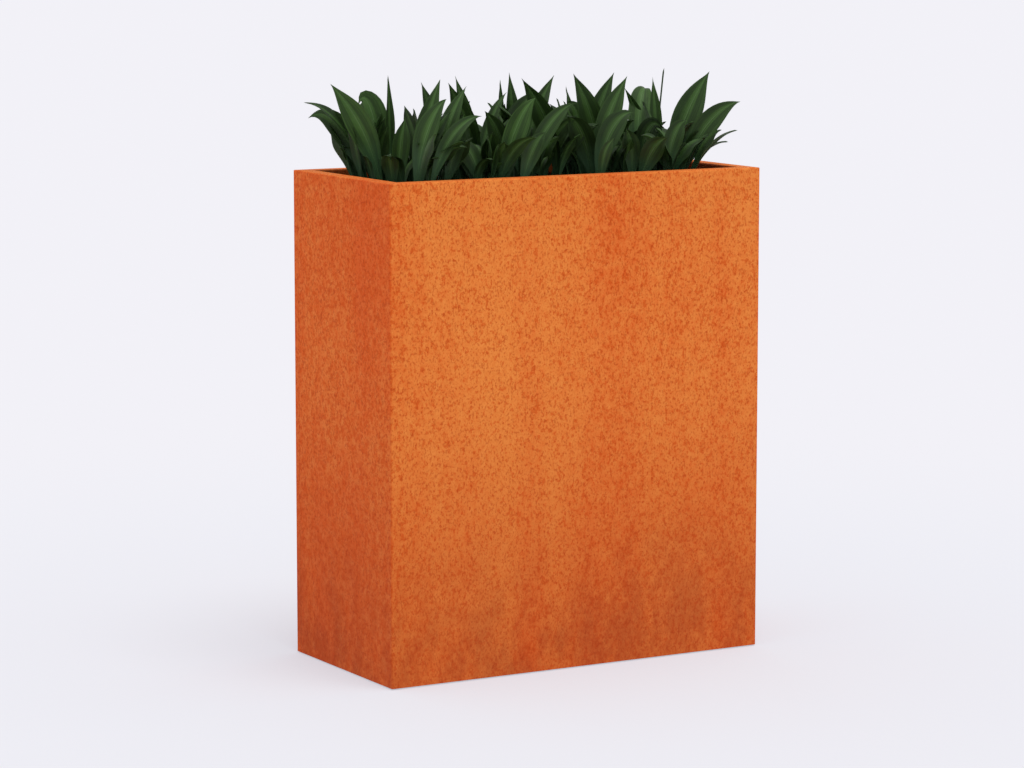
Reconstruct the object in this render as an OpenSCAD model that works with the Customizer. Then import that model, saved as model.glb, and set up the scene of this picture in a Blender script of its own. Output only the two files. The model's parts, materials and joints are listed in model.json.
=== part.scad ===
// Tall rectangular planter box in weathering steel, with a lift-out planted liner.
// Origin on the ground below the middle of the box. +X right, +Y back, +Z up.

/* [Casing] */
// Width of the casing
casing_w = 860; // [800:10:1000]
// Depth of the casing, front to back
casing_d = 420; // [400:10:500]
// Height of the rim above the ground
rim_z = 1000; // [950:10:1100]
// Thickness of the casing sheet
sheet_t = 2; // [1.5:0.5:3]
// Outer radius of the folds
fold_r = 3.5; // [3.5:0.5:5]
// Width of the rim, folded inwards
rim_w = 35; // [30:1:40]
// Height of the lip that turns down from the rim
lip_h = 25; // [15:1:30]
// Width of the back panel's returns on the two ends
return_w = 20; // [15:1:30]
// Gap of the butt seam between the two casing sheets
seam_gap = 0.4; // [0.2:0.1:0.6]

/* [Casing stiffeners] */
// Distance of each stiffener from the middle of its panel
stiffener_x = 150; // [120:5:200]
// Depth of the hat section
stiffener_depth = 26; // [20:1:27]
// Width of the hat section without its flanges
stiffener_w = 34; // [25:1:50]

/* [Base frame] */
// Gap under the casing with the feet wound in
ground_gap = 2; // [1:0.5:4]
// Leg of the base rails' angle section
rail_leg = 40; // [35:1:45]
// Thickness of the base rails
rail_t = 4; // [3:1:5]
// Diameter of the ground anchor holes
anchor_d = 14; // [11:1:18]
// Spacing of the anchor holes along each long rail
anchor_span = 500; // [420:10:560]

/* [Levelling feet] */
// Side of each square foot plate
plate_side = 110; // [100:1:120]
// Thickness of the foot plates
plate_t = 6; // [5:1:8]
// Diameter of the levelling studs
stud_d = 12; // [10:1:12]
// Diameter of the foot pads
pad_d = 50; // [40:1:56]
// Distance of each foot's axis from the casing's inner faces
foot_inset = 75; // [72:1:80]

/* [Liner shelf] */
// Height of the shelf that carries the liner
shelf_z = 553; // [450:1:600]
// Leg of the ledge angles on the two ends
ledge_leg = 30; // [28:1:32]
// Thickness of the ledge angles
ledge_t = 3; // [3:1:4]
// Leg of the support bars' angle section
bar_leg = 40; // [35:1:45]
// Thickness of the support bars
bar_t = 4; // [3:1:5]
// Spacing of the support bars
bar_pitch = 110; // [100:1:120]

/* [Liner] */
// Gap between the liner's wall and the rim opening
liner_gap = 5; // [4:0.5:8]
// Thickness of the liner sheet
liner_t = 1.5; // [1:0.5:2]
// Depth of the liner's edge below the rim
liner_drop = 45; // [40:1:60]
// Height of the hem folded outwards at the liner's edge
hem_h = 12; // [8:1:16]
// Depth of the soil's surface below the rim
soil_drop = 135; // [130:1:160]
// Thickness of the drainage layer
drainage_h = 50; // [30:1:80]
// Thickness of the filter fleece
fleece_t = 2; // [1:1:4]
// Diameter of the drain holes in the liner's floor
drain_d = 12; // [8:1:20]

/* [Lifting rings] */
// Wire diameter of a lifting ring
ring_wire = 8; // [6:1:8]
// Width of a ring between the middles of its sides
ring_w = 96; // [90:1:110]
// Drop of a ring between the middles of its bars
ring_drop = 44; // [40:1:46]
// Radial running clearance of pins and studs in their holes
running_gap = 0.05; // [0.03:0.01:0.08]

/* [Plants] */
// Spacing of the plants along the liner
plant_pitch = 145; // [140:1:150]
// Height of the foliage above the rim
foliage_h = 200; // [150:5:250]
// Width of a plant's bundle of stems
stem_w = 80; // [60:1:84]
// Depth of a plant's bundle of stems
stem_d = 220; // [160:5:240]

/* [Hidden] */
$fn = 48;

corten = "#c0602c";
galvanised = "#a9adb0";
zinc = "#c4c6c8";
black = "#26272a";
earth = "#3b2a1e";
clay = "#a5623f";
felt = "#d9d7cf";
leaf = "#2f5a31";

left = -1;
right = 1;
front = -1;
back = 1;

inner_x = casing_w / 2 - sheet_t;
inner_y = casing_d / 2 - sheet_t;
lip_z = rim_z - lip_h;
casing_h = rim_z - ground_gap;

hat_flange = 14;
hat_clear_top = 15;

rail_end_gap = 1;
rail_top = ground_gap + rail_leg;

// Levelling foot, from the ground up
pad_h = 8;
pad_rim_h = 5;
pad_step = 2;
pad_neck_r = 13;
pad_neck_h = 6;
spigot_r = 5;
spigot_h = 8;
collar_h = 8;
collar_af = 19;
collar_gap = 0.5;
collar_z = pad_h + pad_neck_h;
plate_z = collar_z + collar_h + collar_gap;
plate_hole_d = stud_d + 1;
foot_nut_af = 19;
foot_nut_h = 10;
stud_above_nut = 38;
stud_top = plate_z + plate_t + foot_nut_h + stud_above_nut;
drive_af = 8;
drive_h = 8;
foot_x = inner_x - foot_inset;
foot_y = inner_y - foot_inset;

// M8 fastening of the support bars
bolt_r = 4;
bolt_hole_r = 4.5;
washer_r = 8;
washer_hole_r = 4.2;
washer_t = 1.6;
bolt_head_af = 13;
bolt_head_h = 5.3;
bolt_nut_h = 6.8;
bolt_end = 3;
bolt_x = inner_x - ledge_leg / 2;
bar_y = [-bar_pitch, 0, bar_pitch];
bar_end_gap = 1;
ledge_top = shelf_z - bar_t;
ledge_end = 40;
ledge_span = 2 * (bar_pitch + ledge_end);

liner_w = casing_w - 2 * rim_w - 2 * liner_gap;
liner_d = casing_d - 2 * rim_w - 2 * liner_gap;
liner_top = rim_z - liner_drop;
liner_corner_r = 6;
soil_z = rim_z - soil_drop;
drainage_z = shelf_z + liner_t;
fleece_z = drainage_z + drainage_h;
fill_gap = 0.5;
drain_x = [-300, -100, 100, 300];
drain_y = [-bar_pitch / 2, bar_pitch / 2];

// Lifting ring and its clip on the inner face of each end of the liner
ring_r = ring_wire / 2;
ring_bend = 10;
clip_t = 1.5;
clip_w = 60;
knuckle_r = ring_r + 2.5;
knuckle_w = 40;
clip_below = 9;
clip_above = 22;
rivet_r = 2.4;
rivet_hole_r = 2.5;
rivet_head_r = 4;
rivet_head_h = 1.5;
rivet_tail_r = 3.5;
rivet_y = 21;
rivet_up = 14;
ring_z = soil_z + 55;
wall_x = liner_w / 2 - liner_t;
ring_x = wall_x - clip_t - knuckle_r;

// Foliage envelope: it opens out above the rim and draws in towards the leaf tips
foliage_open_z = rim_z + 5;
foliage_wide_z = rim_z + 60;
foliage_gap = 1;
foliage_edge = 30;
foliage_depth = casing_d - 2 * foliage_edge;
foliage_top_w = 0.8;
foliage_top_d = 0.7;
stem_spread = 10;
foliage_end_x = casing_w / 2 - 5;
foliage_corner_r = 30;

// ---- shared shapes ----

// Rectangle about the middle, with round corners
module rounded_plan(w, d, r) {
    square([w - 2 * r, d], center = true);
    square([w, d - 2 * r], center = true);
    for (x = [-1, 1], y = [-1, 1])
        translate([x * (w / 2 - r), y * (d / 2 - r)])
            circle(r);
}

// Quarter of a fold's section, starting at angle start
module fold_section(start) {
    intersection() {
        difference() {
            circle(fold_r);
            circle(fold_r - sheet_t);
        }
        rotate(start)
            square(fold_r);
    }
}

// Section of a casing wall with its rim and lip: x inwards from the outer face, y up
module wall_section() {
    translate([0, ground_gap])
        square([sheet_t, casing_h - fold_r]);
    translate([fold_r, rim_z - fold_r])
        fold_section(90);
    translate([fold_r, rim_z - sheet_t])
        square([rim_w - 2 * fold_r, sheet_t]);
    translate([rim_w - fold_r, rim_z - fold_r])
        fold_section(0);
    translate([rim_w - sheet_t, lip_z])
        square([sheet_t, lip_h - fold_r]);
}

// Casing wall facing -Y, with its outer face at reach from the middle and its ends mitred
module rimmed_wall(length, reach) {
    mitre = rim_w + 1;
    intersection() {
        rotate([90, 0, 90])
            translate([-reach, 0, -length / 2])
                linear_extrude(length)
                    wall_section();
        linear_extrude(rim_z + 1)
            polygon([
                [-length / 2, -reach],
                [length / 2, -reach],
                [length / 2 - mitre, -reach + mitre],
                [-length / 2 + mitre, -reach + mitre],
            ]);
    }
}

// The two ends of the casing, kept between y_from and y_to
module casing_ends(y_from, y_to) {
    intersection() {
        union() {
            rotate(90)
                rimmed_wall(casing_d, casing_w / 2);
            rotate(-90)
                rimmed_wall(casing_d, casing_w / 2);
        }
        translate([-casing_w / 2 - 1, y_from, 0])
            cube([casing_w + 2, y_to - y_from, rim_z + 1]);
    }
}

// Outer block of the casing, with its folded vertical corners
module casing_block() {
    linear_extrude(rim_z + 1)
        rounded_plan(casing_w, casing_d, fold_r);
}

// Angle bar along X: its corner at the origin, one leg towards +Y and one towards +Z
module angle_bar(length, leg, thickness) {
    translate([-length / 2, 0, 0]) {
        cube([length, leg, thickness]);
        cube([length, thickness, leg]);
    }
}

module hexagon(af, height) {
    cylinder(r = af / sqrt(3), h = height, $fn = 6);
}

module ring_of(outer_r, inner_r, height) {
    difference() {
        cylinder(r = outer_r, h = height);
        translate([0, 0, -1])
            cylinder(r = inner_r, h = height + 2);
    }
}

// ---- casing ----

module front_shell() {
    color(corten)
        intersection() {
            casing_block();
            union() {
                rimmed_wall(casing_w, casing_d / 2);
                casing_ends(-casing_d / 2, casing_d / 2 - return_w);
            }
        }
}

module back_panel() {
    color(corten)
        intersection() {
            casing_block();
            union() {
                rotate(180)
                    rimmed_wall(casing_w, casing_d / 2);
                casing_ends(casing_d / 2 - return_w + seam_gap, casing_d / 2);
            }
        }
}

// Upright hat section on the inside of the front (side -1) or back (side 1) panel
module stiffener(x_side, side) {
    color(corten)
        translate([x_side * stiffener_x, side * inner_y, rail_top])
            rotate(side > 0 ? 180 : 0)
                linear_extrude(lip_z - hat_clear_top - rail_top) {
                    difference() {
                        translate([-stiffener_w / 2, 0])
                            square([stiffener_w, stiffener_depth]);
                        translate([-stiffener_w / 2 + sheet_t, -1])
                            square([stiffener_w - 2 * sheet_t, stiffener_depth - sheet_t + 1]);
                    }
                    for (s = [-1, 1])
                        translate([s * (stiffener_w + hat_flange) / 2, sheet_t / 2])
                            square([hat_flange, sheet_t], center = true);
                }
}

// ---- base frame ----

// Long base rail on the front (side -1) or back (side 1), with its ground anchor holes
module long_base_rail(side) {
    color(galvanised)
        rotate(side > 0 ? 180 : 0)
            difference() {
                translate([0, -inner_y, ground_gap])
                    angle_bar(2 * (inner_x - rail_end_gap), rail_leg, rail_t);
                for (x = [-1, 1])
                    translate([x * anchor_span / 2, -inner_y + rail_leg / 2, 0])
                        cylinder(d = anchor_d, h = ground_gap + rail_t + 1);
            }
}

// Short base rail on the left (side -1) or right (side 1), between the long ones
module short_base_rail(side) {
    color(galvanised)
        rotate(side > 0 ? 90 : -90)
            translate([0, -inner_x, ground_gap])
                angle_bar(2 * (inner_y - rail_leg - rail_end_gap), rail_leg, rail_t);
}

module foot_plate(x_side, y_side) {
    outer_x = inner_x - rail_t;
    outer_y = inner_y - rail_t;
    color(galvanised)
        difference() {
            translate([
                x_side * (outer_x - plate_side / 2),
                y_side * (outer_y - plate_side / 2),
                plate_z + plate_t / 2,
            ])
                cube([plate_side, plate_side, plate_t], center = true);
            translate([x_side * foot_x, y_side * foot_y, plate_z - 1])
                cylinder(d = plate_hole_d, h = plate_t + 2);
        }
}

module foot_nuts() {
    color(zinc)
        for (x = [-foot_x, foot_x], y = [-foot_y, foot_y])
            translate([x, y, plate_z + plate_t])
                difference() {
                    hexagon(foot_nut_af, foot_nut_h);
                    translate([0, 0, -1])
                        cylinder(d = stud_d + 2 * running_gap, h = foot_nut_h + 2);
                }
}

// Foot pad: a disc with a neck that holds the stud's spigot
module foot_pad(x_side, y_side) {
    color(black)
        translate([x_side * foot_x, y_side * foot_y, 0])
            difference() {
                union() {
                    cylinder(d = pad_d, h = pad_rim_h);
                    cylinder(d = pad_d - 2 * pad_step, h = pad_h);
                    cylinder(r = pad_neck_r, h = collar_z);
                }
                translate([0, 0, collar_z - spigot_h - running_gap])
                    cylinder(r = spigot_r + running_gap, h = spigot_h + 1);
            }
}

// Levelling stud: spigot, hexagon collar, threaded length and a hexagon to drive it from above
module foot_stud(x_side, y_side) {
    color(zinc)
        translate([x_side * foot_x, y_side * foot_y, 0]) {
            translate([0, 0, collar_z - spigot_h])
                cylinder(r = spigot_r, h = spigot_h + 1);
            translate([0, 0, collar_z + running_gap])
                hexagon(collar_af, collar_h - running_gap);
            translate([0, 0, collar_z + collar_h - 1])
                cylinder(d = stud_d, h = stud_top - collar_z - collar_h + 1);
            translate([0, 0, stud_top - 1])
                hexagon(drive_af, drive_h + 1);
        }
}

// ---- shelf under the liner ----

module ledge_angle(side) {
    color(galvanised)
        difference() {
            rotate(side > 0 ? 90 : -90)
                translate([0, -inner_x, ledge_top])
                    mirror([0, 0, 1])
                        angle_bar(ledge_span, ledge_leg, ledge_t);
            for (y = bar_y)
                translate([side * bolt_x, y, ledge_top - ledge_t - 1])
                    cylinder(r = bolt_hole_r, h = ledge_t + 2);
        }
}

// Support bar: the flat leg lies on both ledges, and the upright leg hangs between them
module support_bar(y) {
    flat_w = 2 * (inner_x - ledge_t - bar_end_gap);
    web_w = 2 * (inner_x - ledge_leg - 2 * bar_end_gap);
    color(galvanised)
        difference() {
            union() {
                translate([-flat_w / 2, y - bar_leg / 2, ledge_top])
                    cube([flat_w, bar_leg, bar_t]);
                translate([-web_w / 2, y - bar_leg / 2, shelf_z - bar_leg])
                    cube([web_w, bar_t, bar_leg]);
            }
            for (x = [-bolt_x, bolt_x])
                translate([x, y, ledge_top - 1])
                    cylinder(r = bolt_hole_r, h = bar_t + 2);
        }
}

module bar_bolts() {
    grip = bar_t + ledge_t + 2 * washer_t + bolt_nut_h + bolt_end;
    color(zinc)
        for (x = [-bolt_x, bolt_x], y = bar_y)
            translate([x, y, shelf_z + washer_t]) {
                hexagon(bolt_head_af, bolt_head_h);
                translate([0, 0, -grip])
                    cylinder(r = bolt_r, h = grip + 1);
            }
}

module bar_washers() {
    color(zinc)
        for (x = [-bolt_x, bolt_x], y = bar_y, z = [shelf_z, ledge_top - ledge_t - washer_t])
            translate([x, y, z])
                ring_of(washer_r, washer_hole_r, washer_t);
}

module bar_nuts() {
    color(zinc)
        for (x = [-bolt_x, bolt_x], y = bar_y)
            translate([x, y, ledge_top - ledge_t - washer_t - bolt_nut_h])
                difference() {
                    hexagon(bolt_head_af, bolt_nut_h);
                    translate([0, 0, -1])
                        cylinder(r = bolt_r + running_gap, h = bolt_nut_h + 2);
                }
}

// ---- liner and what it holds ----

module liner_tub() {
    color(galvanised)
        difference() {
            union() {
                translate([0, 0, shelf_z])
                    linear_extrude(liner_top - shelf_z)
                        rounded_plan(liner_w, liner_d, liner_corner_r);
                translate([0, 0, liner_top - hem_h])
                    linear_extrude(hem_h)
                        rounded_plan(liner_w + 2 * liner_t, liner_d + 2 * liner_t,
                            liner_corner_r + liner_t);
            }
            translate([0, 0, drainage_z])
                linear_extrude(liner_top)
                    rounded_plan(liner_w - 2 * liner_t, liner_d - 2 * liner_t,
                        liner_corner_r - liner_t);
            for (x = drain_x, y = drain_y)
                translate([x, y, shelf_z - 1])
                    cylinder(d = drain_d, h = liner_t + 2);
            for (x = [-1, 1], y = [-rivet_y, rivet_y])
                translate([x * wall_x, y, ring_z + rivet_up])
                    rotate([0, 90, 0])
                        cylinder(r = rivet_hole_r, h = 4 * liner_t, center = true);
        }
}

// Layer that fills the liner from z over a height
module liner_fill(z, height) {
    translate([0, 0, z])
        linear_extrude(height)
            rounded_plan(liner_w - 2 * (liner_t + fill_gap), liner_d - 2 * (liner_t + fill_gap),
                liner_corner_r - liner_t - fill_gap);
}

module drainage_layer() {
    color(clay)
        liner_fill(drainage_z, drainage_h);
}

module filter_fleece() {
    color(felt)
        liner_fill(fleece_z, fleece_t);
}

module soil() {
    color(earth)
        liner_fill(fleece_z + fleece_t, soil_z - fleece_z - fleece_t);
}

// Clip of a lifting ring: a plate on the liner's end wall and a knuckle round the ring's top bar
module ring_clip(side) {
    color(galvanised)
        mirror([side > 0 ? 1 : 0, 0, 0])
            difference() {
                union() {
                    translate([-wall_x, -clip_w / 2, ring_z - clip_below])
                        cube([clip_t, clip_w, clip_below + clip_above]);
                    translate([-wall_x, -knuckle_w / 2, ring_z - knuckle_r])
                        cube([wall_x - ring_x, knuckle_w, 2 * knuckle_r]);
                    translate([-ring_x, 0, ring_z])
                        rotate([90, 0, 0])
                            cylinder(r = knuckle_r, h = knuckle_w, center = true);
                }
                translate([-ring_x, 0, ring_z])
                    rotate([90, 0, 0])
                        cylinder(r = ring_r + running_gap, h = knuckle_w + 2, center = true);
                for (y = [-rivet_y, rivet_y])
                    translate([-wall_x, y, ring_z + rivet_up])
                        rotate([0, 90, 0])
                            cylinder(r = rivet_hole_r, h = 4 * clip_t, center = true);
            }
}

module clip_rivets() {
    grip = liner_t + clip_t;
    color(zinc)
        for (side = [-1, 1], y = [-rivet_y, rivet_y])
            translate([side * (wall_x - clip_t), y, ring_z + rivet_up])
                rotate([0, side * 90, 0]) {
                    translate([0, 0, -rivet_head_h])
                        cylinder(r = rivet_head_r, h = rivet_head_h);
                    translate([0, 0, -1])
                        cylinder(r = rivet_r, h = grip + 2);
                    translate([0, 0, grip])
                        cylinder(r = rivet_tail_r, h = rivet_head_h);
                }
}

// Closed ring of round wire, hanging from its top bar, which lies along Y on the hinge axis
module lifting_ring(side) {
    half_w = ring_w / 2 - ring_bend;
    side_h = ring_drop - 2 * ring_bend;
    color(zinc)
        translate([side * ring_x, 0, ring_z])
            rotate([90, 0, 90]) {
                for (y = [0, -ring_drop])
                    translate([0, y, 0])
                        rotate([0, 90, 0])
                            cylinder(r = ring_r, h = 2 * half_w, center = true);
                for (x = [-ring_w / 2, ring_w / 2])
                    translate([x, -ring_bend, 0])
                        rotate([90, 0, 0])
                            cylinder(r = ring_r, h = side_h);
                for (corner = [[half_w, -ring_bend, 0], [-half_w, -ring_bend, 90],
                        [-half_w, ring_bend - ring_drop, 180], [half_w, ring_bend - ring_drop, 270]])
                    translate([corner[0], corner[1], 0])
                        rotate(corner[2])
                            rotate_extrude(angle = 90)
                                translate([ring_bend, 0])
                                    circle(ring_r);
            }
}

// Envelope of one plant: a bundle of stems up to the rim, then foliage from x_low to x_high
module plant(index, x_low, x_high) {
    x = index * plant_pitch;
    mid = (x_low + x_high) / 2;
    wide = x_high - x_low;
    color(leaf) {
        translate([x, 0, soil_z])
            linear_extrude(foliage_open_z - soil_z + 1)
                rounded_plan(stem_w, stem_d, foliage_corner_r);
        hull($fn = 24) {
            translate([x, 0, foliage_open_z])
                linear_extrude(1)
                    rounded_plan(stem_w + 2 * stem_spread, stem_d + 2 * stem_spread,
                        foliage_corner_r);
            translate([mid, 0, foliage_wide_z])
                linear_extrude(1)
                    rounded_plan(wide, foliage_depth, foliage_corner_r);
            translate([mid, 0, rim_z + foliage_h - 1])
                linear_extrude(1)
                    rounded_plan(wide * foliage_top_w, foliage_depth * foliage_top_d,
                        foliage_corner_r);
        }
    }
}

module middle_plant(index) {
    plant(index, (index - 0.5) * plant_pitch + foliage_gap, (index + 0.5) * plant_pitch - foliage_gap);
}

module end_plant(side) {
    inner = side * (1.5 * plant_pitch + foliage_gap);
    outer = side * foliage_end_x;
    plant(2 * side, min(inner, outer), max(inner, outer));
}

// ---- nodes ----

front_shell();
back_panel();
stiffener(left, front);  // front_stiffener_left
stiffener(right, front);  // front_stiffener_right
stiffener(left, back);  // back_stiffener_left
stiffener(right, back);  // back_stiffener_right
long_base_rail(front);  // base_rail_front
long_base_rail(back);  // base_rail_back
short_base_rail(left);  // base_rail_left
short_base_rail(right);  // base_rail_right
foot_plate(left, front);  // foot_plate_front_left
foot_plate(right, front);  // foot_plate_front_right
foot_plate(left, back);  // foot_plate_back_left
foot_plate(right, back);  // foot_plate_back_right
foot_nuts();
foot_pad(left, front);  // foot_pad_front_left
foot_pad(right, front);  // foot_pad_front_right
foot_pad(left, back);  // foot_pad_back_left
foot_pad(right, back);  // foot_pad_back_right
foot_stud(left, front);  // foot_stud_front_left
foot_stud(right, front);  // foot_stud_front_right
foot_stud(left, back);  // foot_stud_back_left
foot_stud(right, back);  // foot_stud_back_right
ledge_angle(left);  // ledge_angle_left
ledge_angle(right);  // ledge_angle_right
support_bar(bar_y[0]);  // support_bar_front
support_bar(bar_y[1]);  // support_bar_middle
support_bar(bar_y[2]);  // support_bar_back
bar_bolts();
bar_washers();
bar_nuts();
liner_tub();
drainage_layer();
filter_fleece();
soil();
ring_clip(left);  // ring_clip_left
ring_clip(right);  // ring_clip_right
clip_rivets();
lifting_ring(left);  // lifting_ring_left
lifting_ring(right);  // lifting_ring_right
end_plant(left);  // plant_far_left
middle_plant(-1);  // plant_left
middle_plant(0);  // plant_middle
middle_plant(1);  // plant_right
end_plant(right);  // plant_far_right
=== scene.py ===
"""Looks of the planter box: rusted steel casing, zinc fittings, and the planting in its liner."""
import json
import math
import random

import bpy
import numpy as np
from mathutils import Matrix, Vector, noise


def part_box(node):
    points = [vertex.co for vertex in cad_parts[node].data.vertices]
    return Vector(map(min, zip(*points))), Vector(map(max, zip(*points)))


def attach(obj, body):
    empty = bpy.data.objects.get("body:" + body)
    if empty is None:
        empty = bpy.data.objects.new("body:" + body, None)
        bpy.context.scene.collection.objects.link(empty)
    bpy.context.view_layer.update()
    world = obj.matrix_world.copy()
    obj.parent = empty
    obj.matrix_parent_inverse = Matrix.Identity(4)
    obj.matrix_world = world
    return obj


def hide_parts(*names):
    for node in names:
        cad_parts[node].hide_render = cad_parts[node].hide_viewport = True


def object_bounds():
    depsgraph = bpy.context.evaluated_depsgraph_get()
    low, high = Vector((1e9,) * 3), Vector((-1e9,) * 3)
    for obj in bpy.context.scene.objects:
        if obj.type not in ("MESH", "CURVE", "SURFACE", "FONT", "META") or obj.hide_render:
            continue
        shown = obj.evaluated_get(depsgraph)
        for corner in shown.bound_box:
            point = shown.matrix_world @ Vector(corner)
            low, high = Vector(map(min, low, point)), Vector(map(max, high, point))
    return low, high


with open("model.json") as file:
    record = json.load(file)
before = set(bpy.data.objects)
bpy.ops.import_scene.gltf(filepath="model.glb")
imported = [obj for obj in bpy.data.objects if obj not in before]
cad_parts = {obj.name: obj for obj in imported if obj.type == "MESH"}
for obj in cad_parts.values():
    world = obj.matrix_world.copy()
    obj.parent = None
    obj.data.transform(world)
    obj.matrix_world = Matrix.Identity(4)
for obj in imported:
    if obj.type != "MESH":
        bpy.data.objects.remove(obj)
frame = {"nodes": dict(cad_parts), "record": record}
cad_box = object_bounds()

RIM_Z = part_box("front_shell")[1].z
SOIL_LOW, SOIL_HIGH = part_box("soil")
# Mean height of the soil's bumpy surface, from which the leaves grow
GROUND_Z = SOIL_HIGH.z - 0.006


# ---- materials ----

def rgb(red, green, blue):
    """Linear colour from 8-bit sRGB values."""
    linear = []
    for value in (red / 255, green / 255, blue / 255):
        linear.append(value / 12.92 if value <= 0.04045 else ((value + 0.055) / 1.055) ** 2.4)
    return (*linear, 1.0)


class Surface:
    """A material in the making. Most methods add one node and return its output socket, and a
    value that they take may be a number, a colour or another node's socket."""

    def __init__(self, name, **shader_values):
        self.material = bpy.data.materials.new(name)
        self.material.use_nodes = True
        self.tree = self.material.node_tree
        self.shader = self.tree.nodes["Principled BSDF"]
        for socket, value in shader_values.items():
            self.shader.inputs[socket.replace("_", " ")].default_value = value

    def add(self, kind, settings=None, **inputs):
        """A new node. An underscore in an input's name stands for a space."""
        node = self.tree.nodes.new("ShaderNode" + kind)
        for name, value in (settings or {}).items():
            setattr(node, name, value)
        for name, value in inputs.items():
            self.feed(node.inputs[name.replace("_", " ")], value)
        return node

    def feed(self, socket, value):
        if isinstance(value, bpy.types.NodeSocket):
            self.tree.links.new(value, socket)
        else:
            socket.default_value = value

    def place(self):
        return self.add("TexCoord").outputs["Object"]

    def stretch(self, vector, scale, offset=(0, 0, 0)):
        return self.add("Mapping", Vector=vector, Scale=scale, Location=offset).outputs["Vector"]

    def noise(self, vector, scale, detail=2.0, roughness=0.5):
        node = self.add("TexNoise", Vector=vector, Scale=scale, Detail=detail, Roughness=roughness)
        return node.outputs["Fac"]

    def cells(self, vector, scale, output="Distance"):
        return self.add("TexVoronoi", Vector=vector, Scale=scale).outputs[output]

    def axes(self, vector):
        return self.add("SeparateXYZ", Vector=vector).outputs

    def fade(self, value, low, high, to_low=0.0, to_high=1.0):
        """value taken smoothly from low..high to to_low..to_high, and held at both ends."""
        node = self.add("MapRange", {"interpolation_type": "SMOOTHSTEP"}, Value=value,
            From_Min=low, From_Max=high, To_Min=to_low, To_Max=to_high)
        return node.outputs["Result"]

    def math(self, operation, first, second=0.0):
        node = self.add("Math", {"operation": operation})
        self.feed(node.inputs[0], first)
        self.feed(node.inputs[1], second)
        return node.outputs["Value"]

    def add_up(self, *values):
        """The sum of the values, by one node for each after the first."""
        total = values[0]
        for value in values[1:]:
            total = self.math("ADD", total, value)
        return total

    def blend(self, share, under, over):
        """The colour under, with that share of the colour over."""
        node = self.add("Mix", {"data_type": "RGBA"}, Factor=share, A=under, B=over)
        return node.outputs["Result"]

    def bump(self, height, distance, strength):
        """Relief of that distance in metres, fed to the shader."""
        node = self.add("Bump", Height=height, Distance=distance, Strength=strength)
        self.feed(self.shader.inputs["Normal"], node.outputs["Normal"])

    def paint(self, color, roughness=None):
        """Finishes the material, and returns it."""
        self.feed(self.shader.inputs["Base Color"], color)
        if roughness is not None:
            self.feed(self.shader.inputs["Roughness"], roughness)
        return self.material


# Where the rust turns redder (above 0) or paler across the box: from x, to x, and by how much
RUST_COLUMNS = [(-0.27, -0.22, -0.06), (-0.17, -0.13, 0.08), (0.08, 0.16, -0.06), (0.28, 0.34, 0.06)]


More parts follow.
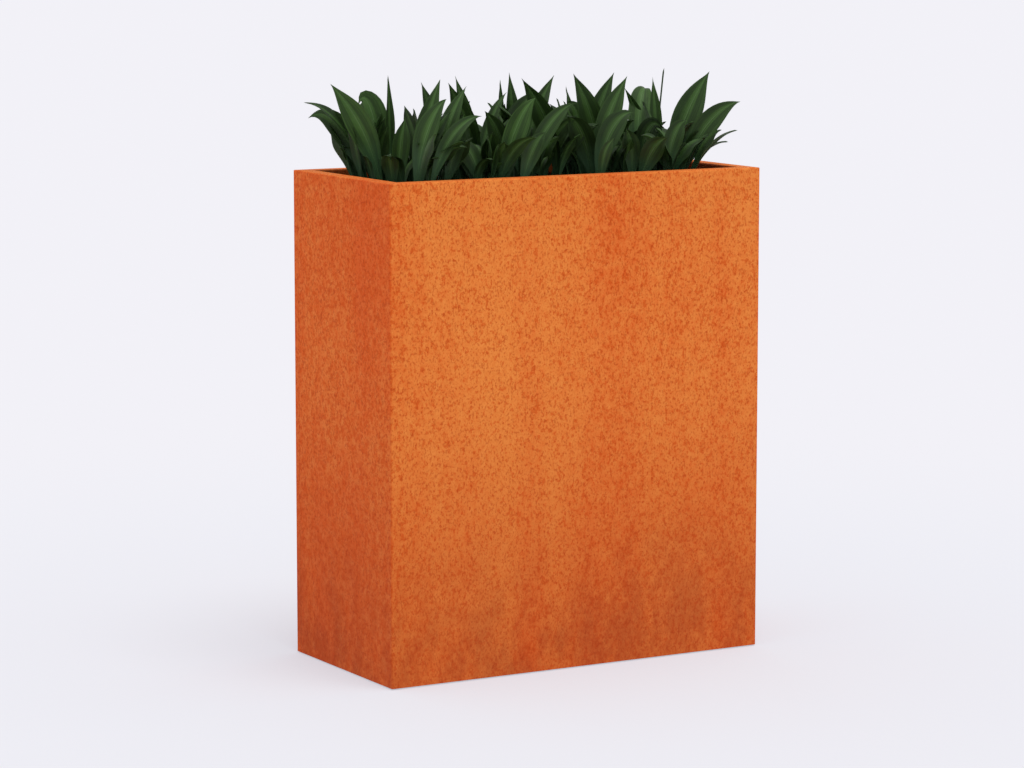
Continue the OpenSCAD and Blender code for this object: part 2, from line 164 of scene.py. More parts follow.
def weathering_steel():
    """Rust in clouds and upright bands, with fine red and brown specks, stained dark at the foot."""
    s = Surface("weathering_steel", Metallic=0.0, Specular_IOR_Level=0.12)
    place = s.place()
    clouds = s.noise(s.stretch(place, (1, 1, 0.45), (0.4, 0, 0.2)), 3.2, 3)
    bands = s.noise(s.stretch(place, (1, 1, 0.06)), 10, 2)
    mottle = s.noise(s.stretch(place, (1, 0.7, 0.7)), 60, 5, 0.7)
    blots = s.noise(s.stretch(place, (1, 1, 0.5), (2, 6, 3)), 16, 4, 0.6)
    flecks = s.noise(s.stretch(place, (1, 0.7, 0.7), (5, 2, 1)), 180, 2, 0.6)
    specks = s.noise(s.stretch(place, (1, 0.7, 0.7), (3, 1, 7)), 250, 1, 0.5)
    grain = s.noise(s.stretch(place, (1, 0.7, 0.5)), 420, 3, 0.7)
    normal = s.add("NewGeometry").outputs["True Normal"]
    # The faces across X, the box's ends, are painted redder: painted shade for ends that get less light
    # than the front
    painted_end_shade = s.math("ABSOLUTE", s.axes(normal)["X"])
    # The normal against the way out from the box's middle tells the inner faces from the outer
    outward = s.add("VectorMath", {"operation": "DOT_PRODUCT"})
    s.feed(outward.inputs[0], normal)
    s.feed(outward.inputs[1], s.stretch(place, (1, 1, 0)))
    damp_and_shaded_inner_face = s.math("LESS_THAN", outward.outputs["Value"], -0.05)

    redness = s.add_up(s.math("MULTIPLY", clouds, 0.4), s.math("MULTIPLY", bands, 0.3),
        s.math("MULTIPLY", mottle, 0.5), s.math("MULTIPLY", painted_end_shade, 0.15))
    across = s.axes(place)["X"]
    for low, high, change in RUST_COLUMNS:
        redness = s.math("ADD", redness, s.fade(across, low, high, 0.0, change))
    # Orange to red-orange, then red flecks, brown specks and a fine grain
    color = s.blend(s.fade(redness, 0.43, 0.87), rgb(238, 141, 64), rgb(223, 95, 38))
    spotted = s.math("ADD", flecks, s.fade(redness, 0.47, 0.82, -0.03, 0.05))
    color = s.blend(s.fade(spotted, 0.51, 0.64, 0.0, 0.6), color, rgb(202, 70, 8))
    color = s.blend(s.fade(specks, 0.54, 0.68, 0.0, 0.45), color, rgb(164, 46, 0))
    color = s.blend(s.fade(grain, 0.35, 0.7, 0.0, 0.35), color, rgb(196, 88, 12))

    # Stains at the foot; a redder lower half, partly weathering and partly painted shade; and darker
    # inner faces, partly a wetter rust and partly painted shade
    height = s.axes(place)["Z"]
    foot = s.fade(s.math("ADD", height, s.math("MULTIPLY", clouds, -0.4)), -0.2, 0.14, 0.42, 0.0)
    patchy = s.add_up(blots, s.math("MULTIPLY", mottle, 0.4), s.math("MULTIPLY", bands, 0.4))
    stain = s.math("MULTIPLY", foot, s.fade(patchy, 0.7, 1.1))
    color = s.blend(stain, color, rgb(116, 52, 30))
    # Redder and darker towards the foot: partly weathering, partly painted shade for the light that
    # falls off lower down
    color = s.blend(s.fade(height, 0.0, 0.7, 0.42, 0.0), color, rgb(182, 64, 22))
    # Inner faces darker: partly a wetter rust, partly painted shade inside the box
    color = s.blend(s.math("MULTIPLY", damp_and_shaded_inner_face, 0.7), color, rgb(110, 40, 16))

    relief = s.math("ADD", s.math("MULTIPLY", mottle, 0.5), s.math("MULTIPLY", specks, 0.5))
    s.bump(relief, 0.0012, 0.5)
    return s.paint(color, s.fade(mottle, 0.3, 0.7, 0.72, 0.92))


def galvanised_steel():
    s = Surface("galvanised_steel", Metallic=1.0)
    place = s.place()
    spangle = s.cells(place, 75, output="Color")
    flakes = s.axes(spangle)["X"]
    dulling = s.noise(place, 9, 4)
    color = s.blend(flakes, rgb(150, 155, 160), rgb(196, 200, 204))
    color = s.blend(s.fade(dulling, 0.35, 0.75, 0.0, 0.6), color, rgb(158, 160, 160))
    s.bump(s.noise(place, 400, 3), 0.0002, 0.4)
    return s.paint(color, s.fade(s.math("ADD", flakes, dulling), 0.4, 1.4, 0.3, 0.55))


def zinc_plating():
    s = Surface("zinc_plating", Metallic=1.0)
    place = s.place()
    tint = s.noise(place, 60, 3)
    wear = s.noise(s.stretch(place, (1, 1, 6)), 350, 4, 0.7)
    color = s.blend(s.fade(tint, 0.35, 0.65), rgb(200, 203, 208), rgb(206, 203, 190))
    color = s.blend(s.fade(wear, 0.55, 0.75, 0.0, 0.5), color, rgb(140, 142, 146))
    s.bump(wear, 0.0001, 0.4)
    return s.paint(color, s.fade(wear, 0.3, 0.7, 0.24, 0.42))


def black_nylon():
    s = Surface("black_nylon", Specular_IOR_Level=0.4)
    place = s.place()
    texture = s.noise(place, 900, 2)
    dust = s.noise(place, 40, 4)
    color = s.blend(s.fade(dust, 0.5, 0.8, 0.0, 0.5), rgb(30, 31, 33), rgb(78, 74, 70))
    s.bump(texture, 0.0002, 0.5)
    return s.paint(color, s.fade(dust, 0.4, 0.8, 0.45, 0.75))


def potting_soil():
    s = Surface("potting_soil", Specular_IOR_Level=0.2, Roughness=0.95)
    place = s.place()
    crumbs = s.cells(place, 170)
    damp = s.noise(place, 12, 4)
    fibre = s.noise(place, 260, 4, 0.7)
    color = s.blend(s.fade(damp, 0.35, 0.7), rgb(52, 34, 24), rgb(88, 60, 40))
    color = s.blend(s.fade(fibre, 0.5, 0.75, 0.0, 0.7), color, rgb(122, 88, 60))
    s.bump(s.math("ADD", crumbs, fibre), 0.003, 0.8)
    return s.paint(color)


def bark():
    s = Surface("bark", Specular_IOR_Level=0.2, Roughness=0.9)
    place = s.place()
    fibre = s.noise(s.stretch(place, (1, 4, 2)), 160, 4, 0.7)
    shade = s.noise(place, 30, 2)
    color = s.blend(s.fade(shade, 0.35, 0.65), rgb(70, 42, 27), rgb(128, 82, 50))
    color = s.blend(s.fade(fibre, 0.45, 0.7, 0.0, 0.7), color, rgb(45, 29, 20))
    s.bump(fibre, 0.001, 0.7)
    return s.paint(color)


def clay_pebbles():
    s = Surface("clay_pebbles", Specular_IOR_Level=0.2, Roughness=0.9)
    place = s.place()
    pebbles = s.cells(place, 75)
    each = s.axes(s.cells(place, 75, output="Color"))["X"]
    pores = s.noise(place, 700, 2)
    color = s.blend(each, rgb(128, 70, 44), rgb(178, 108, 70))
    # Darker towards each pebble's edge: painted shade in the gaps between pebbles
    color = s.blend(s.fade(pebbles, 0.35, 0.6, 0.0, 0.8), color, rgb(50, 28, 20))
    s.bump(s.math("SUBTRACT", s.math("MULTIPLY", pores, 0.1), pebbles), 0.006, 1.0)
    return s.paint(color)


def fleece():
    s = Surface("fleece", Specular_IOR_Level=0.1, Roughness=0.95)
    place = s.place()
    fibres = s.noise(s.stretch(place, (1, 3, 1)), 420, 5, 0.8)
    stains = s.noise(place, 14, 3)
    color = s.blend(s.fade(fibres, 0.3, 0.7), rgb(188, 184, 172), rgb(226, 224, 215))
    color = s.blend(s.fade(stains, 0.5, 0.75, 0.0, 0.5), color, rgb(140, 120, 96))
    s.bump(fibres, 0.0008, 0.7)
    return s.paint(color)


def leaf_skin():
    """Leaf green. The UV layer runs across the leaf and along it, both from 0 to 1, and the tint
    attribute differs leaf by leaf."""
    s = Surface("leaf_skin", Specular_IOR_Level=0.22)
    flat = s.add("UVMap", {"uv_map": "leaf"}).outputs["UV"]
    across, along = s.axes(flat)["X"], s.axes(flat)["Y"]
    from_rib = s.math("ABSOLUTE", s.math("SUBTRACT", across, 0.5))
    tint = s.add("Attribute", {"attribute_name": "tint"}).outputs["Fac"]
    veins = s.noise(s.stretch(flat, (60, 1.2, 1)), 1.0, 2, 0.6)
    streaks = s.noise(s.stretch(flat, (12, 1.0, 1)), 1.0, 2)
    dim_streaks = s.noise(s.stretch(flat, (9, 0.9, 1), (3, 5, 0)), 1.0, 3, 0.6)
    patches = s.noise(s.place(), 22, 3)

    color = s.blend(tint, rgb(24, 40, 14), rgb(74, 110, 46))
    color = s.blend(s.fade(patches, 0.35, 0.7, 0.0, 0.4), color, rgb(34, 62, 22))
    color = s.blend(s.fade(streaks, 0.45, 0.65, 0.0, 0.6), color, rgb(74, 112, 46))
    color = s.blend(s.fade(dim_streaks, 0.45, 0.65, 0.0, 0.6), color, rgb(22, 40, 14))
    color = s.blend(s.fade(veins, 0.35, 0.7, 0.0, 0.5), color, rgb(20, 38, 12))
    # Paler by the midrib: a thin pale midrib, and a broad painted highlight where the folded blade faces
    # the light. Paler towards the root. Darker at the edges: painted shade where the blade folds away
    # from the light
    # A broad painted highlight along the midrib, stronger on paler leaves
    painted_rib_highlight = s.math("ADD", s.math("MULTIPLY", tint, 0.65), 0.35)
    painted_rib_highlight = s.math("MULTIPLY", painted_rib_highlight, s.fade(from_rib, 0.0, 0.2, 0.28, 0.0))
    color = s.blend(painted_rib_highlight, color, rgb(98, 140, 74))
    color = s.blend(s.fade(from_rib, 0.006, 0.03, 0.3, 0.0), color, rgb(112, 146, 92))
    color = s.blend(s.fade(along, 0.3, 0.55, 0.6, 0.0), color, rgb(56, 92, 64))
    # Painted shade at the edges, where the folded blade turns from the light
    color = s.blend(s.fade(from_rib, 0.35, 0.5, 0.0, 0.15), color, rgb(18, 34, 12))
    s.bump(s.math("ADD", veins, s.fade(from_rib, 0.0, 0.05, 1.2, 0.0)), 0.0006, 0.7)
    return s.paint(color, s.fade(patches, 0.3, 0.7, 0.4, 0.55))


def floor_paint():
    """A pale floor that glows a little, so that shadows on it stay faint. It glows less near the object,
    a painted shade round its foot."""
    s = Surface("floor_paint", Roughness=0.95, Specular_IOR_Level=0.0, Emission_Strength=1.0)
    away = s.add("VectorMath", {"operation": "LENGTH"})
    s.feed(away.inputs[0], s.place())
    # Less glow near the object: painted shade round its foot
    shaded_near_glow, far_glow = (0.405, 0.42, 0.466, 1.0), (0.441, 0.439, 0.475, 1.0)
    painted_rib_highlight = s.blend(s.fade(away.outputs["Value"], 0.5, 3.2), shaded_near_glow, far_glow)
    s.feed(s.shader.inputs["Emission Color"], painted_rib_highlight)
    return s.paint((0.42, 0.42, 0.42, 1.0))


def cad_finishes():
    """Materials of the CAD nodes that stay in view, by their slot in the record."""
    return {
        "weathering_steel": weathering_steel(),
        "galvanised_steel": galvanised_steel(),
        "zinc_plating": zinc_plating(),
        "black_nylon": black_nylon(),
        "clay_pebbles": clay_pebbles(),
        "fleece": fleece(),
    }


def dress_cad_nodes(finishes):
    """Gives every CAD node whose slot is in finishes that material."""
    for part in frame["record"]["subparts"]:
        if part["material_slot"] in finishes:
            mesh = frame["nodes"][part["node"]].data
            mesh.materials.clear()
            mesh.materials.append(finishes[part["material_slot"]])


# ---- mesh helpers ----

def link(name, data):
    """A new object of that name in the scene."""
    item = bpy.data.objects.new(name, data)
    bpy.context.scene.collection.objects.link(item)
    return item


def new_piece(name, points, faces, body, material, sharp_from):
    """A smooth mesh that rides on a body, with creases where its faces meet at sharp_from degrees
    or more."""
    mesh = bpy.data.meshes.new(name)
    mesh.from_pydata([tuple(p) for p in points], [], faces)
    mesh.update()
    mesh.materials.append(material)
    mesh.polygons.foreach_set("use_smooth", [True] * len(mesh.polygons))
    mesh.set_sharp_from_angle(angle=math.radians(sharp_from))
    piece = link(name, mesh)
    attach(piece, body)
    return piece


def prism_faces(first, sides, rings):
    """Faces of a closed solid of stacked rings, whose points start at first: its bottom, its top
    and its sides."""
    top = first + sides * (rings - 1)
    faces = [tuple(reversed(range(first, first + sides))), tuple(range(top, top + sides))]
    for low in range(first, top, sides):
        for k in range(sides):
            n = (k + 1) % sides
            faces.append((low + k, low + n, low + sides + n, low + sides + k))
    return faces


# ---- leaves ----

LEAF_RINGS = 22
LEAF_SPAN = 6
# The stalk's width as a share of the blade's, and where on the leaf the blade starts
STALK_WIDTH = 0.24
BLADE_START = 0.25
# Powers of the blade's outline towards its start and towards its tip
BLADE_SWELL = 1.25
BLADE_TAPER = 1.6
# How the spine bends: how far it goes on straight past the rim and how far ahead of the tip it
# turns, as shares of those stretches, and its lift for each metre of crest and of overhang
ROOT_REACH = 0.3
TIP_REACH = 0.38
CREST_LIFT = 1.2
LEAF_ARCH = 0.2
# The blade folds up from its midrib by this power of the distance across
FOLD_POWER = 1.15
# Its edges ripple: height as a share of the width, and the wave's angle along and across
RIPPLE = 0.04
RIPPLE_ALONG = 17
RIPPLE_ACROSS = 1.5
# From the middle of the leaf to each face, as this times a base share and more towards the rib
LEAF_THICKNESS = 0.0009
BASE_SHARE = 0.5
RIB_SHARE = 0.6
# The midrib stands out below by this much more
RIB_BELOW = 2.4
# The way that a leaf's width points when its turn is 0
BROADSIDE = math.radians(-30)
# The points round a leaf's section: place across the leaf from -1 to 1, and upper or lower face
SECTION = [(k / LEAF_SPAN * 2 - 1, 1) for k in range(LEAF_SPAN + 1)]
SECTION += [(1 - k / LEAF_SPAN * 2, -1) for k in range(1, LEAF_SPAN)]


def blade_width(s):
    """The leaf's width at s, from 0 at the root to 1 at the tip, as a share of its full width."""
    stalk = STALK_WIDTH * (1 - s ** 2)
    t = max(0.0, (s - BLADE_START) / (1 - BLADE_START))
    blade = t ** BLADE_SWELL * (1 - t) ** BLADE_TAPER
    peak = BLADE_SWELL / (BLADE_SWELL + BLADE_TAPER)
    return math.hypot(stalk, blade / (peak ** BLADE_SWELL * (1 - peak) ** BLADE_TAPER))


class Foliage:
    """The leaves of one plant, gathered into one mesh."""

    def __init__(self, seed):
        self.rng = random.Random(seed)
        self.points, self.faces, self.uvs, self.tints = [], [], [], []

    def leaf(self, root, rim, tip, width, turn, crest, twist, tint, cup=0.35):
        """A leaf from root through rim to tip. turn is the angle of its width from BROADSIDE, and
        twist turns it further towards the tip. crest lifts its spine ahead of the tip, so that
        the tip hangs over, and cup folds its edges up."""
        lift = Vector((0, 0, CREST_LIFT * crest + LEAF_ARCH * (tip - rim).xy.length))
        spine = [root, rim + ROOT_REACH * (rim - root), tip - TIP_REACH * (tip - rim) + lift, tip]
        wave = self.rng.uniform(0, math.tau)
        first = len(self.points)
        side = Vector((math.cos(BROADSIDE + turn), math.sin(BROADSIDE + turn), 0))
        for ring in range(LEAF_RINGS):
            s = ring / LEAF_RINGS
            centre, forward = self.spine_at(spine, s)
            side = (side - side.dot(forward) * forward).normalized()
            across = Matrix.Rotation(twist * s, 3, forward) @ side
            up = across.cross(forward)
            half = width / 2 * blade_width(s)
            for a, face in SECTION:
                angle = wave + RIPPLE_ALONG * s + RIPPLE_ACROSS * a
                ripple = RIPPLE * width * a * a * math.sin(angle)
                fold = cup * half * (abs(a) ** FOLD_POWER) + ripple * min(1.0, 2 * s)
                share = BASE_SHARE + RIB_SHARE * (1 - abs(a))
                thick = face * LEAF_THICKNESS * share * (1 - a * a) ** 0.5
                if a == 0 and face < 0:
                    thick *= RIB_BELOW
                self.points.append(centre + across * (a * half) + up * (fold + thick))
                self.uvs.append(((a + 1) / 2, s))
                self.tints.append(tint)
        self.points.append(tip)
        self.uvs.append((0.5, 1.0))
        self.tints.append(tint)
        self.close(first)

    @staticmethod
    def spine_at(p, s):
        """Place and direction at s on the cubic curve with the control points p."""
        r = 1 - s
        centre = r ** 3 * p[0] + 3 * r * r * s * p[1] + 3 * r * s * s * p[2] + s ** 3 * p[3]
        forward = r * r * (p[1] - p[0]) + 2 * r * s * (p[2] - p[1]) + s * s * (p[3] - p[2])
        return centre, forward.normalized()

    def close(self, first):
        """Faces of the leaf whose points start at first: its sides, its root and its tip."""
        count = len(SECTION)
        for ring in range(LEAF_RINGS - 1):
            low = first + ring * count
            for k in range(count):
                n = (k + 1) % count
                self.faces.append((low + k, low + n, low + count + n, low + count + k))
        self.faces.append(tuple(reversed(range(first, first + count))))
        last = first + (LEAF_RINGS - 1) * count
        for k in range(count):
            self.faces.append((last + k, last + (k + 1) % count, last + count))

    def finish(self, name, material):
        """The piece, with its UV layer and its tint."""
        piece = new_piece(name, self.points, self.faces, "liner", material, sharp_from=70)
        mesh = piece.data
        layer = mesh.uv_layers.new(name="leaf")
        corners = [self.uvs[loop.vertex_index] for loop in mesh.loops]
        layer.data.foreach_set("uv", np.array(corners, np.float32).ravel())
        tints = mesh.attributes.new("tint", "FLOAT", "POINT")
        tints.data.foreach_set("value", np.array(self.tints, np.float32))
        return piece


# The leaves that shape the planting's outline, plant by plant from left to right. Each row is:
# where the leaf passes the rim (x from the plant's middle, y), its tip (x, y, height over the
# rim), its width, its turn in degrees, its crest, and its tint from 0 for dark to 1 for light.
LEADING_LEAVES = {
    "plant_far_left": [
        (-0.005, 0.120, -0.145, 0.150, 0.140, 0.030, 75, 0.02, 0.20),
        (-0.030, 0.130, -0.075, 0.130, 0.045, 0.024, 0, 0.01, 0.30),
        (-0.020, 0.100, -0.118, 0.185, 0.105, 0.046, 0, 0.045, 0.30),
        (0.015, 0.100, -0.022, 0.150, 0.130, 0.060, 0, 0.085, 0.80),
        (-0.005, 0.065, -0.120, 0.080, 0.180, 0.052, 10, 0.00, 0.85),
        (-0.015, 0.085, -0.030, 0.080, 0.075, 0.034, 0, 0.00, 0.50),
        (0.015, 0.080, 0.000, 0.060, 0.195, 0.022, 40, 0.00, 0.35),
        (-0.035, -0.040, -0.025, -0.060, 0.120, 0.036, 15, 0.00, 0.60),
        (-0.075, -0.090, -0.090, -0.120, 0.045, 0.034, 0, 0.02, 0.05),
        (-0.005, -0.050, 0.065, -0.040, 0.190, 0.042, 10, 0.00, 0.55),
        (0.030, -0.060, 0.125, -0.040, 0.175, 0.036, 0, 0.00, 0.50),
        (-0.045, -0.120, 0.035, -0.120, 0.155, 0.044, -15, 0.02, 0.45),
        (-0.020, -0.130, 0.105, -0.140, 0.120, 0.030, 0, 0.02, 0.40),
        (0.045, -0.100, 0.080, -0.120, 0.095, 0.032, 0, 0.01, 0.15),
    ],
    "plant_left": [
        (-0.015, 0.040, -0.070, 0.060, 0.180, 0.034, 0, 0.00, 0.30),
        (0.060, 0.060, 0.020, 0.080, 0.190, 0.030, 20, 0.00, 0.40),
        (0.050, 0.020, -0.040, 0.000, 0.180, 0.048, -10, 0.00, 0.50),
        (0.035, 0.030, 0.125, 0.050, 0.155, 0.024, 0, 0.01, 0.45),
        (0.025, -0.090, 0.105, -0.100, 0.150, 0.046, 10, 0.02, 0.90),
        (0.050, -0.130, 0.170, -0.150, 0.140, 0.036, 0, 0.02, 0.35),
        (0.050, -0.140, 0.095, -0.160, 0.085, 0.036, 0, 0.01, 0.25),
    ],
    "plant_middle": [
        (-0.030, 0.060, -0.030, 0.060, 0.180, 0.022, 40, 0.00, 0.25),
        (0.005, 0.050, -0.015, 0.050, 0.195, 0.030, 0, 0.00, 0.40),
        (-0.060, 0.020, 0.040, 0.040, 0.155, 0.052, 10, 0.01, 0.15),
        (0.010, 0.060, 0.110, 0.080, 0.185, 0.036, 0, 0.00, 0.40),
        (-0.060, -0.040, -0.135, -0.060, 0.125, 0.040, 0, 0.01, 0.30),
    ],
    "plant_right": [
        (-0.040, 0.020, -0.160, 0.000, 0.185, 0.048, -10, 0.00, 0.35),
        (0.020, 0.080, 0.005, 0.100, 0.160, 0.022, 30, 0.00, 0.40),
        (0.035, 0.050, -0.005, 0.080, 0.125, 0.044, 0, 0.04, 0.45),
        (0.055, 0.020, -0.025, 0.020, 0.190, 0.048, 0, 0.00, 0.45),
        (0.000, 0.030, 0.080, 0.030, 0.190, 0.042, 0, 0.00, 0.40),
        (-0.015, -0.030, 0.075, -0.030, 0.185, 0.046, 10, 0.00, 0.55),
        (-0.020, -0.060, -0.100, -0.080, 0.110, 0.050, 0, 0.02, 0.10),
        (-0.060, -0.110, 0.030, -0.130, 0.115, 0.046, -10, 0.03, 0.25),
        (-0.065, -0.140, -0.035, -0.160, 0.070, 0.024, 20, 0.00, 0.35),
        (0.040, -0.120, 0.010, -0.130, 0.085, 0.036, 0, 0.01, 0.15),
    ],
    "plant_far_right": [
        (0.065, 0.080, -0.010, 0.080, 0.155, 0.024, 0, 0.00, 0.45),
        (-0.010, 0.040, 0.070, 0.120, 0.140, 0.048, 0, 0.065, 0.85),
        (0.025, 0.000, 0.010, 0.000, 0.180, 0.026, 15, 0.00, 0.60),
        (0.060, 0.070, 0.070, 0.050, 0.195, 0.005, 70, 0.00, 0.20),
        (-0.065, -0.050, -0.015, -0.080, 0.070, 0.044, 0, 0.06, 0.00),
        (0.025, -0.030, 0.125, -0.040, 0.190, 0.058, 10, 0.00, 0.50),
        (0.035, -0.060, 0.150, -0.120, 0.130, 0.046, -10, 0.015, 0.45),
        (0.055, -0.070, 0.150, -0.110, 0.070, 0.014, 50, 0.00, 0.30),
        (0.055, -0.070, 0.140, -0.090, 0.045, 0.010, 70, 0.00, 0.20),
        (-0.040, -0.120, 0.005, -0.140, 0.095, 0.038, 0, 0.025, 0.30),
        (-0.015, -0.120, 0.020, -0.140, 0.040, 0.034, 0, 0.01, 0.25),
    ],
}
PLANT_PITCH = 0.145
FIRST_PLANT_SEED = 31
# How far a root is from its plant's middle at most
ROOT_SPREAD = 0.035
# Where the leaves between the leading ones pass the rim, from their plant's middle at most
FILL_SPREAD_X = 0.05
FILL_SPREAD_Y = 0.13
# How far their tips are from the box's middle at most
FILL_LIMIT_X = 0.38
FILL_LIMIT_Y = 0.195
# In front of this y they rise less, by this share
FRONT_Y = -0.04
FRONT_RISE = 0.7


def held_within(limit, value):
    """value, or the nearest number from -limit to limit."""
    return max(-limit, min(limit, value))


def root_below(middle, rim):
    """Root of a leaf that passes the rim at that point: a little nearer the plant's middle."""
    dx = held_within(ROOT_SPREAD, 0.6 * (rim.x - middle))
    return Vector((middle + dx, 0.88 * rim.y, GROUND_Z))


def fill_leaves(foliage, middle, number, reaches, rises, widths):
    """Leaves between the leading ones. They spring from all over the plant and lean outwards,
    more to the sides than to the front and back. The last three values are ranges."""
    rng = foliage.rng
    for _ in range(number):
        rim_x = middle + rng.uniform(-FILL_SPREAD_X, FILL_SPREAD_X)
        rim = Vector((rim_x, rng.uniform(-FILL_SPREAD_Y, FILL_SPREAD_Y), RIM_Z))
        lean = BROADSIDE + rng.choice((0, math.pi)) + rng.gauss(0, 0.8)
        reach, rise, width = rng.uniform(*reaches), rng.uniform(*rises), rng.uniform(*widths)
        if rim.y < FRONT_Y:
            rise *= FRONT_RISE
        tip = rim + Vector((reach * math.cos(lean), reach * math.sin(lean), rise))
        tip.x = held_within(FILL_LIMIT_X, tip.x)
        tip.y = held_within(FILL_LIMIT_Y, tip.y)
        turn = lean + math.pi / 2 - BROADSIDE + rng.uniform(-1.2, 1.2)
        # The leaves between get only the darker tints: painted shade for leaves that lie deeper in the
        # plant
        foliage.leaf(root_below(middle, rim), rim, tip, width, turn, crest=rng.uniform(0, 0.01),
            cup=rng.uniform(0.2, 0.6), twist=rng.uniform(-0.6, 0.6), tint=0.4 * rng.random())


def planting():
    """One piece of foliage for each plant, in a row along X."""
    skin = leaf_skin()
    for index, (name, rows) in enumerate(LEADING_LEAVES.items()):
        middle = (index - len(LEADING_LEAVES) // 2) * PLANT_PITCH
        foliage = Foliage(seed=FIRST_PLANT_SEED + index)
        for rim_x, rim_y, tip_x, tip_y, rise, width, turn, crest, tint in rows:
            rim = Vector((middle + rim_x, rim_y, RIM_Z))
            tip = Vector((middle + tip_x, tip_y, RIM_Z + rise))
            foliage.leaf(root_below(middle, rim), rim, tip, width, math.radians(turn), crest,
                twist=foliage.rng.uniform(-0.25, 0.25), tint=tint)
        fill_leaves(foliage, middle, 20, reaches=(0.03, 0.11), rises=(0.08, 0.14), widths=(0.028, 0.046))
        fill_leaves(foliage, middle, 18, reaches=(0.02, 0.07), rises=(0.03, 0.09), widths=(0.018, 0.03))
        piece = foliage.finish(name.replace("plant", "foliage"), skin)
        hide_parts(name)


# ---- soil ----

# Spaces of the soil's mesh along X and along Y
SOIL_COLUMNS = 110
SOIL_ROWS = 48
CHIP_COUNT = 420
CHIP_SEED = 5
CHIP_SIDES = 6
CHIP_Z = SOIL_HIGH.z - 0.002
# The chips lie within these distances of the box's middle
MULCH_X = 0.375
MULCH_Y = 0.155
# The lifting rings hang over the soil beyond this x and within this y, so no chips lie there
RING_X = 0.325
RING_Y = 0.065


def soil_surface():
    """The soil as a closed block with a bumpy top."""
    cols, rows = SOIL_COLUMNS, SOIL_ROWS
    points, faces = [], []
    for i in range(cols + 1):
        for j in range(rows + 1):
            x = SOIL_LOW.x + (SOIL_HIGH.x - SOIL_LOW.x) * i / cols
            y = SOIL_LOW.y + (SOIL_HIGH.y - SOIL_LOW.y) * j / rows
            # Broad bumps, and fine ones on them
            bumps = 0.006 * noise.noise(Vector((x * 14, y * 14, 3)))
            bumps += 0.003 * noise.noise(Vector((x * 60, y * 60, 8)))
            points.append((x, y, GROUND_Z + bumps))
    for i in range(cols):
        for j in range(rows):
            a = i * (rows + 1) + j
            faces.append((a, a + rows + 1, a + rows + 2, a + 1))
    # The top's edge, once round, and the sides and the bottom below it
    edge = [i * (rows + 1) for i in range(cols)]
    edge += [cols * (rows + 1) + j for j in range(rows)]
    edge += [i * (rows + 1) + rows for i in range(cols, 0, -1)]
    edge += range(rows, 0, -1)
    low = len(points)
    for k in edge:
        points.append((points[k][0], points[k][1], SOIL_LOW.z))
    for k in range(len(edge)):
        n = (k + 1) % len(edge)
        faces.append((edge[n], edge[k], low + k, low + n))
    faces.append(tuple(reversed(range(low, low + len(edge)))))
    material = potting_soil()
    piece = new_piece("soil_bed", points, faces, "liner", material, sharp_from=60)
    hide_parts("soil")


def bark_chips():
    """Chips of bark mulch, strewn over the soil. Each is a flat prism with uneven corners."""
    rng = random.Random(CHIP_SEED)
    points, faces = [], []
    for _ in range(CHIP_COUNT):
        length = rng.uniform(0.008, 0.026)
        width = rng.uniform(0.005, 0.011)
        thick = rng.uniform(0.002, 0.004)
        at = Vector((rng.uniform(-MULCH_X, MULCH_X), rng.uniform(-MULCH_Y, MULCH_Y), CHIP_Z))
        if abs(at.x) > RING_X and abs(at.y) < RING_Y:
            continue
        spin = Matrix.Rotation(rng.uniform(0, math.tau), 3, "Z")
        spin = spin @ Matrix.Rotation(rng.uniform(-0.35, 0.35), 3, "X")
        first = len(points)
        for side in (-1, 1):
            for k in range(CHIP_SIDES):
                angle = math.tau * k / CHIP_SIDES
                shrink = rng.uniform(0.75, 1.1)
                x, y = length / 2 * math.cos(angle), width / 2 * math.sin(angle)
                points.append(at + spin @ (Vector((x, y, side * thick / 2)) * shrink))
        faces += prism_faces(first, CHIP_SIDES, 2)
    new_piece("bark_mulch", points, faces, "liner", bark(), sharp_from=40)


# ---- levelling studs ----

CORNERS = ["front_left", "front_right", "back_left", "back_right"]
# Sizes of a stud. COLLAR_LOW and COLLAR_HIGH are heights over the ground at rest
SPIGOT_RADIUS = 0.005
SPIGOT_CHAMFER = 0.0006
COLLAR_LOW = 0.01405
COLLAR_HIGH = 0.022
COLLAR_FLATS = 0.019
THREAD_PITCH = 0.00175
THREAD_RADIUS = 0.006
THREAD_DEPTH = 0.001
# How steeply the groove's sides rise, in depths for each pitch
THREAD_SLOPE = 2.4
RINGS_PER_PITCH = 8
DRIVE_LENGTH = 0.008
DRIVE_FLATS = 0.008
STUD_SIDES = 24


def hexagon(flats):
    """Radius of a hexagon by direction. flats is its width across the flats, and a corner points
    along +X."""
    step = math.tau / 6
    return lambda angle: flats / 2 / math.cos(angle % step - step / 2)


def circle(radius):
    """The same radius in every direction."""
    return lambda angle: radius


def thread(z, low, high):
    """Radius of an M12 thread at height z by direction: a V groove that runs out at both ends."""
    runout = min(1.0, (z - low) / THREAD_PITCH, (high - z) / THREAD_PITCH)

    def radius(angle):
        turn = (z / THREAD_PITCH - angle / math.tau) % 1.0
        groove = max(0.0, 1.0 - THREAD_SLOPE * abs(turn - 0.5))
        return THREAD_RADIUS - THREAD_DEPTH * groove * runout

    return radius


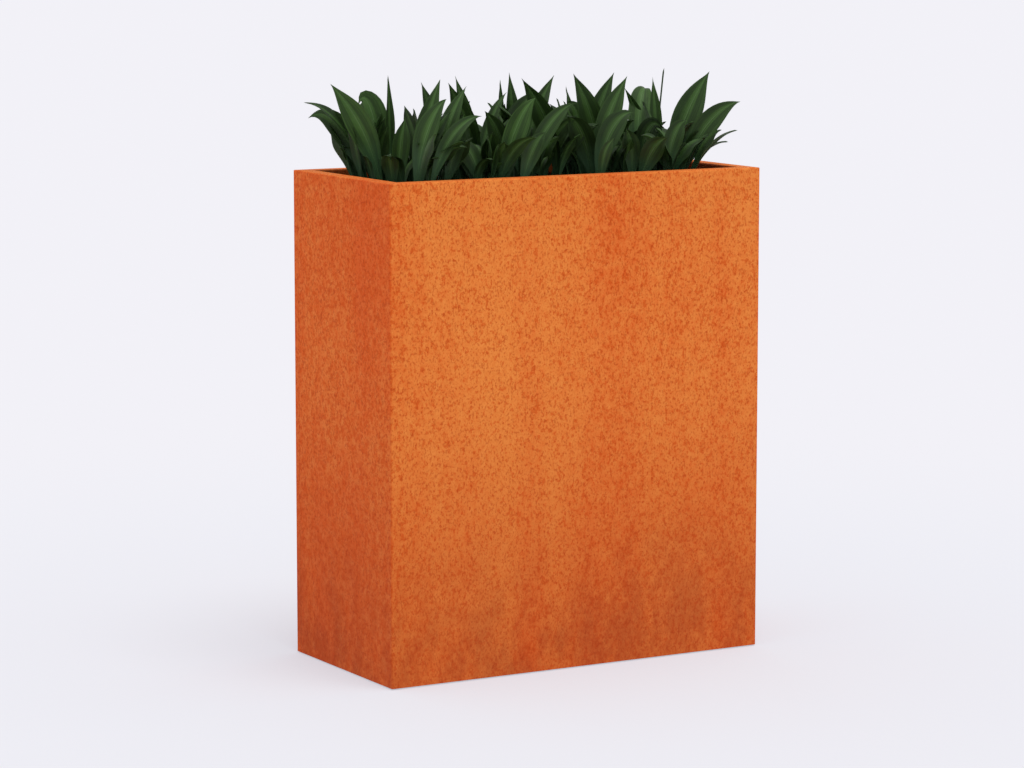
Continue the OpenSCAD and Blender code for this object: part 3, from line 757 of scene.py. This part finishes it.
def stud_sections(low, high):
    """Outlines of a levelling stud between those heights, each as its height and its radius by
    direction: spigot, hexagon collar, thread and driving hexagon."""
    thread_high = high - DRIVE_LENGTH
    length = thread_high - COLLAR_HIGH
    sections = [(low, circle(SPIGOT_RADIUS - SPIGOT_CHAMFER))]
    sections += [(low + SPIGOT_CHAMFER, circle(SPIGOT_RADIUS)), (COLLAR_LOW, circle(SPIGOT_RADIUS))]
    sections.append((COLLAR_LOW, hexagon(COLLAR_FLATS)))
    sections += [(COLLAR_HIGH, hexagon(COLLAR_FLATS)), (COLLAR_HIGH, circle(THREAD_RADIUS))]
    count = round(length / THREAD_PITCH * RINGS_PER_PITCH)
    for k in range(1, count):
        z = COLLAR_HIGH + length * k / count
        sections.append((z, thread(z, COLLAR_HIGH, thread_high)))
    sections.append((thread_high, circle(THREAD_RADIUS - THREAD_DEPTH)))
    sections += [(thread_high, hexagon(DRIVE_FLATS)), (high, hexagon(DRIVE_FLATS))]
    return sections


def levelling_studs(material):
    """The four studs with their threads. Each rides on the body of the CAD stud that it replaces."""
    for corner in CORNERS:
        node = "foot_stud_" + corner
        low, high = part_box(node)
        middle = (low + high) / 2
        sections = stud_sections(low.z, high.z)
        points = []
        for z, radius in sections:
            for k in range(STUD_SIDES):
                angle = math.tau * k / STUD_SIDES
                x = middle.x + radius(angle) * math.cos(angle)
                y = middle.y + radius(angle) * math.sin(angle)
                points.append((x, y, z))
        faces = prism_faces(0, STUD_SIDES, len(sections))
        name = "threaded_stud_" + corner
        piece = new_piece(name, points, faces, node, material, sharp_from=35)
        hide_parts(node)


# ---- the set ----

# The floor is wide enough to fill the camera's view, and lies just clear of the feet
FLOOR_HALF = 80.0
FLOOR_GAP = 0.0005


def floor():
    far = FLOOR_HALF
    mesh = bpy.data.meshes.new("floor")
    mesh.from_pydata([(-far, -far, 0), (far, -far, 0), (far, far, 0), (-far, far, 0)], [], [range(4)])
    mesh.materials.append(floor_paint())
    stage = link("floor", mesh)
    stage.location.z = cad_box[0][2] - FLOOR_GAP


def lights():
    """A pale studio sky all round, and a soft key light from the front and above."""
    world = bpy.data.worlds.new("studio")
    world.use_nodes = True
    background = world.node_tree.nodes["Background"]
    background.inputs["Color"].default_value = rgb(244, 242, 247)
    background.inputs["Strength"].default_value = 0.85
    bpy.context.scene.world = world
    sun = bpy.data.lights.new("key", "SUN")
    sun.energy = 1.0
    sun.angle = math.radians(35)
    towards_light = Vector((0.1, -0.6, 1.6))
    link("key", sun).rotation_euler = towards_light.to_track_quat("Z", "Y").to_euler()
    bpy.context.scene.view_settings.view_transform = "Standard"


def camera():
    """From the left of the front and a little above, looking slightly down."""
    lens = bpy.data.cameras.new("camera")
    lens.sensor_width = 36.0
    lens.lens = 126.07
    lens.clip_end = 300.0
    looking_down, turned_right = 7.804, 29.8785
    view = link("camera", lens)
    view.location = (-3.6747, -6.3319, 1.5589)
    view.rotation_euler = (math.radians(90 - looking_down), 0, math.radians(-turned_right))
    bpy.context.scene.camera = view


camera()
lights()
floor()
finishes = cad_finishes()
dress_cad_nodes(finishes)
planting()
levelling_studs(finishes["zinc_plating"])
soil_surface()
bark_chips()
